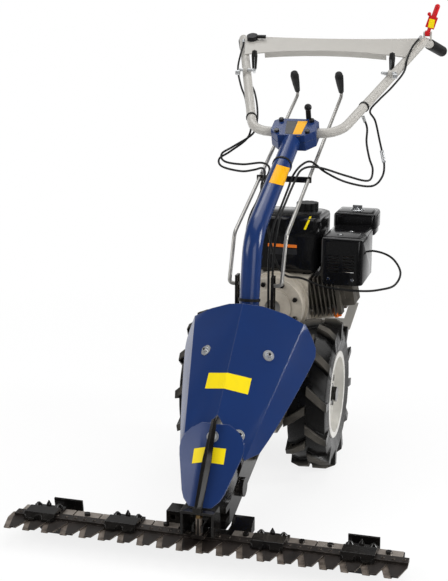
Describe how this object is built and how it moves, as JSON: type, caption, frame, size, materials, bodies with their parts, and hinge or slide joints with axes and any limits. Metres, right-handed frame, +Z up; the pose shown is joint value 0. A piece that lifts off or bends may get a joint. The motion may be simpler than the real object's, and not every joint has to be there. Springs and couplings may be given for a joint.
{
  "type": "sickle bar mower",
  "caption": "Walk-behind sickle bar mower: toothed cutter bar, sheet shield, lugged wheels, small engine, bent steering column, handlebar with rods, levers and cables.",
  "frame": {"origin": "on the ground, under the middle of the whole machine", "axes": "+X to the right seen from the front, -Y towards the cutter bar, +Z up"},
  "size_m": [0.9312, 1.7012, 1.2048],
  "materials": {
    "navy_paint": "gloss",
    "pale_paint": "satin",
    "black_paint": "satin",
    "blade_steel": "worn",
    "zinc_steel": "satin",
    "cast_alloy": "cast",
    "tyre_rubber": "matte",
    "soft_rubber": "matte",
    "black_plastic": "gloss",
    "red_plastic": "gloss",
    "orange_plastic": "gloss"
  },
  "bodies": {
    "chassis": {"bar_back": "black_paint", "lower_knife": "blade_steel", "wear_plates": "blade_steel", "hold_down_clips": "black_paint", "bar_bolts": "black_paint", "skids": "black_paint", "skid_bolts": "zinc_steel", "centre_bracket": "black_paint", "bar_saddle": "black_paint", "stalk_divider": "black_paint", "drive_case": "black_paint", "main_shield": "navy_paint", "lower_shield": "navy_paint", "shield_stays": "black_paint", "shield_bolts": "zinc_steel", "gearbox_housing": "cast_alloy", "bell_housing": "cast_alloy", "frame_bolts": "zinc_steel", "crankcase": "cast_alloy", "cylinder_block": "cast_alloy", "blower_housing": "black_plastic", "starter_cover": "black_plastic", "fuel_tank": "black_plastic", "air_filter": "black_plastic", "muffler": "blade_steel", "muffler_guard": "black_paint", "carburettor": "cast_alloy", "rear_frame": "pale_paint", "column": "navy_paint", "clamp_box": "navy_paint", "clamp_lid": "navy_paint", "handlebar": "pale_paint", "cross_panel": "pale_paint", "hand_grips": "soft_rubber", "control_cables": "soft_rubber", "throttle_cable": "soft_rubber", "cable_ties": "soft_rubber"},
    "left_wheel": {"left_tyre": "tyre_rubber", "left_rim": "zinc_steel", "left_hub": "black_paint"},
    "right_wheel": {"right_tyre": "tyre_rubber", "right_rim": "zinc_steel", "right_hub": "black_paint"},
    "knife": {"upper_knife": "blade_steel"},
    "rocker": {"rocker_arm": "blade_steel"},
    "left_rod": {"left_rod": "zinc_steel", "left_rod_knob": "soft_rubber"},
    "right_rod": {"right_rod": "zinc_steel", "right_rod_knob": "soft_rubber"},
    "left_selector": {"left_selector": "black_paint"},
    "right_selector": {"right_selector": "black_paint"},
    "left_hand_lever": {"left_hand_lever": "zinc_steel"},
    "right_hand_lever": {"right_hand_lever": "zinc_steel"},
    "safety_lever": {"safety_lever": "red_plastic"},
    "throttle_lever": {"throttle_lever": "black_plastic"},
    "clamp_lever": {"clamp_lever": "black_plastic"},
    "crankshaft": {"crankshaft": "blade_steel"},
    "starter_grip": {"starter_grip": "black_plastic"},
    "fuel_cap": {"fuel_cap": "black_plastic"},
    "oil_plug": {"oil_plug": "orange_plastic"}
  },
  "joints": [
    {"name": "left_wheel_roll", "type": "hinge", "parent": "chassis", "child": "left_wheel", "pos_m": [-0.144, -0.16257, 0.2], "axis": [1, 0, 0], "continuous": true},
    {"name": "right_wheel_roll", "type": "hinge", "parent": "chassis", "child": "right_wheel", "pos_m": [0.144, -0.16257, 0.2], "axis": [1, 0, 0], "continuous": true},
    {"name": "knife_stroke", "type": "slide", "parent": "chassis", "child": "knife", "axis": [1, 0, 0], "range_m": [-0.015, 0.015]},
    {"name": "rocker_swing", "type": "hinge", "parent": "chassis", "child": "rocker", "pos_m": [0, -0.72257, 0.08], "axis": [0, 0, 1], "range_deg": [-11.6, 11.6]},
    {"name": "left_rod_pull", "type": "slide", "parent": "chassis", "child": "left_rod", "axis": [0, 0.9309, 0.3652], "range_m": [-0.015, 0.015]},
    {"name": "left_selector_swing", "type": "hinge", "parent": "chassis", "child": "left_selector", "pos_m": [-0.0465, -0.30257, 0.372], "axis": [1, 0, 0], "range_deg": [-5.5, 5.5]},
    {"name": "right_rod_pull", "type": "slide", "parent": "chassis", "child": "right_rod", "axis": [0, 0.9309, 0.3652], "range_m": [-0.015, 0.015]},
    {"name": "right_selector_swing", "type": "hinge", "parent": "chassis", "child": "right_selector", "pos_m": [0.0465, -0.30257, 0.372], "axis": [1, 0, 0], "range_deg": [-5.5, 5.5]},
    {"name": "left_hand_lever_pull", "type": "hinge", "parent": "chassis", "child": "left_hand_lever", "pos_m": [-0.21502, 0.4341, 1.00666], "axis": [1, 0, 0], "range_deg": [0, 50]},
    {"name": "right_hand_lever_pull", "type": "hinge", "parent": "chassis", "child": "right_hand_lever", "pos_m": [0.21502, 0.4341, 1.00666], "axis": [1, 0, 0], "range_deg": [0, 50]},
    {"name": "safety_lever_swing", "type": "hinge", "parent": "chassis", "child": "safety_lever", "pos_m": [0.2991, 0.68693, 1.115], "axis": [1, 0, 0], "range_deg": [-70, 0], "stiffness_Nm_per_rad": 0.4, "springref_deg": 17.19},
    {"name": "throttle_turn", "type": "hinge", "parent": "chassis", "child": "throttle_lever", "pos_m": [-0.24931, 0.62983, 1.09045], "axis": [0, -0.4108, 0.9117], "range_deg": [-35, 35]},
    {"name": "clamp_lever_turn", "type": "hinge", "parent": "chassis", "child": "clamp_lever", "pos_m": [0.02816, 0.151, 0.84663], "axis": [0, 0.9196, 0.3928], "range_deg": [-15, 60]},
    {"name": "crankshaft_spin", "type": "hinge", "parent": "chassis", "child": "crankshaft", "pos_m": [0, -0.04757, 0.41], "axis": [0, 1, 0], "continuous": true},
    {"name": "starter_pull", "type": "slide", "parent": "chassis", "child": "starter_grip", "axis": [0, 1, 0], "range_m": [0, 0.45], "stiffness_N_per_m": 12, "springref_m": -0.15},
    {"name": "fuel_cap_turn", "type": "hinge", "parent": "chassis", "child": "fuel_cap", "pos_m": [0.046, 0.11342, 0.65], "axis": [0, 0, 1], "range_deg": [0, 90]},
    {"name": "oil_plug_turn", "type": "hinge", "parent": "chassis", "child": "oil_plug", "pos_m": [0.15, 0.01342, 0.376], "axis": [0.9779, 0, 0.209], "range_deg": [0, 360]}
  ],
  "couplings": [
    {"joint": "rocker_swing", "follows": "knife_stroke", "rad_per_m": 13.333},
    {"joint": "left_selector_swing", "follows": "left_rod_pull", "rad_per_m": -6.2904},
    {"joint": "right_selector_swing", "follows": "right_rod_pull", "rad_per_m": -6.2904}
  ]
}
